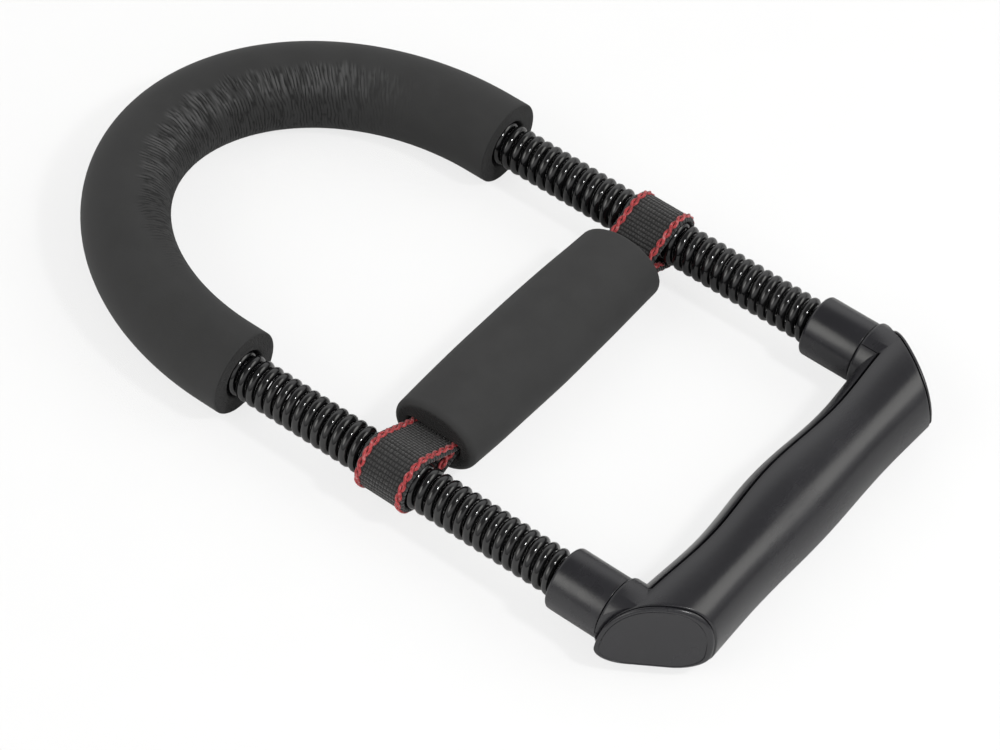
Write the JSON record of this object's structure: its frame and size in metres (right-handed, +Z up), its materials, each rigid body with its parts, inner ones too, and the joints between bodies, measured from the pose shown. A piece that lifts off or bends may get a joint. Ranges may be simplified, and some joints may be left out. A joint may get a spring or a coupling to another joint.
{
  "type": "spring wrist exerciser",
  "caption": "Forearm and wrist exerciser: foam-covered U arch, two coil springs, a strapped foam pad that slides on them, and a moulded cross grip with sockets.",
  "frame": {"origin": "centre of the bounding box on the surface that the exerciser lies on, under the plane of the two springs", "axes": "+X along the springs from the arch to the grip, +Y across to the left spring, +Z up"},
  "size_m": [0.3073, 0.1842, 0.0317],
  "materials": {
    "foam": "matte",
    "webbing": "matte",
    "spring_wire": "gloss",
    "moulding": "gloss",
    "steel_plain": "satin",
    "screw_steel": "satin"
  },
  "bodies": {
    "arch": {"arch_foam": "foam", "arch_rod": "steel_plain", "arch_collar_left": "steel_plain", "arch_collar_right": "steel_plain", "arch_pin_left": "steel_plain", "arch_pin_right": "steel_plain"},
    "springs": {"spring_left": "spring_wire", "spring_right": "spring_wire"},
    "pad": {"strap_webbing": "webbing", "pad_foam": "foam"},
    "grip": {"grip_rod": "steel_plain", "grip_collar_left": "steel_plain", "grip_collar_right": "steel_plain", "grip_pin_left": "steel_plain", "grip_pin_right": "steel_plain", "socket_left": "moulding", "socket_right": "moulding", "grip_upper_shell": "moulding", "grip_lower_shell": "moulding", "end_cap_left": "moulding", "end_cap_right": "moulding", "grip_screw_1": "screw_steel", "grip_screw_2": "screw_steel", "grip_screw_3": "screw_steel"}
  },
  "joints": [
    {"name": "spring_flex_rear", "type": "hinge", "parent": "arch", "child": "springs", "pos_m": [-0.02002, 0, 0.0157], "axis": [0, 1, 0], "range_deg": [-32, 32], "stiffness_Nm_per_rad": 3.7, "deforming": ["spring_left", "spring_right"]},
    {"name": "spring_flex_front", "type": "hinge", "parent": "springs", "child": "grip", "pos_m": [0.07912, 0, 0.0157], "axis": [0, 1, 0], "range_deg": [-32, 32], "stiffness_Nm_per_rad": 3.7, "deforming": ["spring_left", "spring_right"]},
    {"name": "pad_slide", "type": "slide", "parent": "springs", "child": "pad", "axis": [1, 0, 0], "range_m": [-0.035, 0.035]}
  ],
  "couplings": [
    {"joint": "spring_flex_front", "follows": "spring_flex_rear", "ratio": 1}
  ]
}
